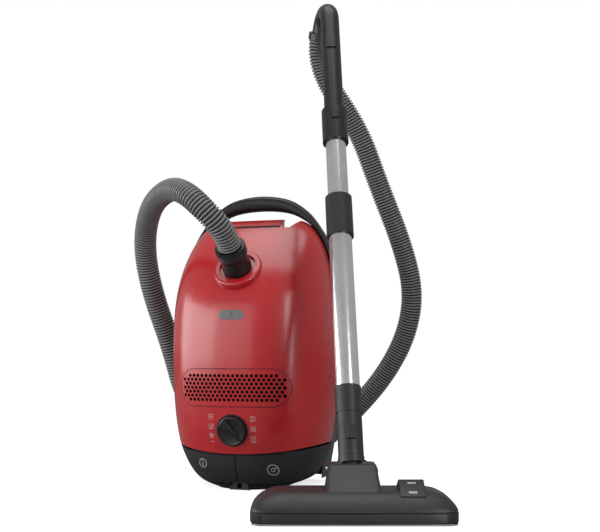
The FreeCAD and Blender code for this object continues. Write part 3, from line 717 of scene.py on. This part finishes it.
def makeCarryHandle():
    outer, inner = mirrored(carry["outer"]), mirrored(carry["inner"])
    middle = (carry["front"] + carry["back"]) / 2
    depth = (carry["back"] - carry["front"]) / 2
    verts, faces = [], []
    steps, around = 144, 48
    for step in range(steps + 1):
        at = (len(outer) - 1) * step / steps
        high, low = through(outer, at), through(inner, at)
        centre, reach = (high + low) / 2, (high - low) / 2
        for turn in range(around):
            angle = 2 * math.pi * turn / around
            out, aside = [math.copysign(abs(f(angle)) ** (2 / 2.8), f(angle)) for f in (math.cos, math.sin)]
            flat = centre + reach * out
            verts.append((flat.x, middle + depth * aside, flat.y))
    for step in range(steps):
        for turn in range(around):
            a = step * around + turn
            b = step * around + (turn + 1) % around
            faces.append((a, a + around, b + around, b))
    faces.append(tuple(range(around)))
    faces.append(tuple(reversed(range(steps * around, (steps + 1) * around))))
    mesh = bpy.data.meshes.new("handle_arch")
    mesh.from_pydata(verts, [], faces)
    arch = bpy.data.objects.new("handle_arch", mesh)
    bpy.context.scene.collection.objects.link(arch)
    finishPiece(arch, "handle_arch", "black_plastic", "canister")
    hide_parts("carry_handle")


# hose cuff
port = dict(point=(0, -0.092, 0.368), axis=(0, -0.75, 0.661))


def makeCuff():
    mm = 0.001
    profile = [(18.6, -22), (21.9, -22), (21.9, 2.6), (24.2, 2.6), (24.5, 3.4), (24.5, 9), (23.9, 10), (23.2, 12),
               (23.0, 28), (23.4, 31), (24.6, 35), (25.6, 37), (25.8, 38), (25.8, 40), (25.2, 40.5), (25.2, 41.3),
               (25.8, 41.8), (25.8, 45), (25.2, 45.5), (25.2, 46.3), (25.8, 46.8), (25.9, 52.6), (25.3, 53.8),
               (24, 54), (19.9, 54), (19.9, 47), (18.6, 46)]
    cuff = closedTurned("cuff", [(r * mm, t * mm) for r, t in profile])
    clip = block((0.013, 0.0035, 0.019), (0, -0.0243, 0.02))
    bevelled(clip, 0.0012, 3)
    piece = joined([cuff, clip])
    finishPiece(piece, "swivel_cuff", "black_plastic", "cuff", axisFrame(port["point"], port["axis"]))
    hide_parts("hose_cuff")


makeFloorhead()
makeCarryHandle()
makeCuff()
print("floorhead, carry handle and cuff made")


# housing skirt, the flared foot round the rear wheels
skirt = dict(wall=0.0025,
             rings=[(0.0095, 0.110, 0.0245, 0.093), (0.03, 0.115, 0.0245, 0.095), (0.07, 0.122, 0.0245, 0.0965),
                    (0.11, 0.128, 0.0245, 0.0967), (0.15, 0.132, 0.0245, 0.0962), (0.19, 0.134, 0.0245, 0.094)])


def makeSkirt():
    shell = stacked("skirt", skirt["rings"], 7, 140)
    wall = skirt["wall"]
    inside = [(z, half - wall, front - 0.02, back - wall) for z, half, front, back in skirt["rings"]]
    inside[0] = (0.0, *inside[0][1:])
    inside[-1] = (0.2, *inside[-1][1:])
    carve(shell, [stacked("hollow", inside, 7, 140)])
    finishPiece(shell, "housing_skirt", "grey_housing", "canister")


# rocker pedal on the floorhead's sloping front
def makeRocker():
    pedal = block((0.039, 0.044, 0.011), (0, 0, 0))
    bpy.ops.object.mode_set(mode="EDIT")
    mesh = bmesh.from_edit_mesh(pedal.data)
    for vertex in mesh.verts:
        if vertex.co.z > 0:
            vertex.co.x *= 0.9
            vertex.co.y *= 0.92
    bmesh.update_edit_mesh(pedal.data)
    bpy.ops.object.mode_set(mode="OBJECT")
    bevelled(pedal, 0.0014, 3)
    icons = []
    for y, heights in ((-0.0105, (0.0012, 0.0036)), (0.011, (0.0022, 0.0022))):
        base = block((0.012, 0.0012, 0.0006), (0, y, 0.0056))
        hairs = [block((0.0009, heights[1], 0.0006), (0.0022 * k, y - 0.0006 - heights[1] / 2, 0.0056)) for k in range(-2, 3)]
        icons += [base] + hairs
    marks = joined(icons)
    place = headFrame @ Matrix.Translation((0.079, -0.052, 0.0425)) @ Matrix.Rotation(math.radians(27), 4, "X")
    finishPiece(pedal, "rocker_pad", "dark_plastic", "rocker", place)
    finishPiece(marks, "rocker_marks", "dark_plastic", "rocker", place)
    marks.data.materials[0] = paleMark
    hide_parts("rocker_pedal")


# flat outline of a pill, in the XY plane
def pillRing(width, height, line, around=40):
    verts, faces = [], []
    for z in (0, 0.0002):
        for shrink in (0, line):
            radius = height / 2 - shrink
            for side in (1, -1):
                middle = side * (width - height) / 2
                for turn in range(around + 1):
                    angle = math.pi * (turn / around - 0.5) + (math.pi if side < 0 else 0)
                    verts.append((middle + radius * math.cos(angle), radius * math.sin(angle), z))
                for step in range(1, around):
                    verts.append((middle * (1 - 2 * step / around), side * radius, z))
    count = 4 * around
    for turn in range(count):
        a, b = turn, (turn + 1) % count
        for first, second in ((0, 1), (1, 3), (3, 2), (2, 0)):
            faces.append((first * count + b, first * count + a, second * count + a, second * count + b))
    mesh = bpy.data.meshes.new("outline")
    mesh.from_pydata(verts, [], faces)
    piece = bpy.data.objects.new("outline", mesh)
    bpy.context.scene.collection.objects.link(piece)
    return piece


# painted shade: a flat dark red line standing for the shade inside the groove round the grille
groove = lacquer("painted groove shade line", (0.1, 0.006, 0.008), 0.5, 0.0)
paleGlass = lacquer("indicator panel", (0.16, 0.165, 0.17), 0.3, 0.3)


def makeCoverLines():
    # the grille outline is painted shade laid flat on the cover where a groove would be shaded
    layMark([pillRing(0.1978, 0.0638, 0.0012)], "grille_outline", groove, "cover", "top_cover", 0, 0.171)
    layMark([bar(-0.0105, 0.0095, -0.0052, 0.0052)], "indicator_panel", paleGlass, "cover", "indicator_window",
            0, 0.291)
    layMark([bar(-0.0004, 0.0004, -0.0052, 0.0052), bar(0.0044, 0.005, -0.0052, 0.0052)], "indicator_scale",
            finishes["black_plastic"], "cover", "indicator_window", 0, 0.291)


makeSkirt()
makeRocker()
makeCoverLines()
print("skirt, rocker and cover lines made")
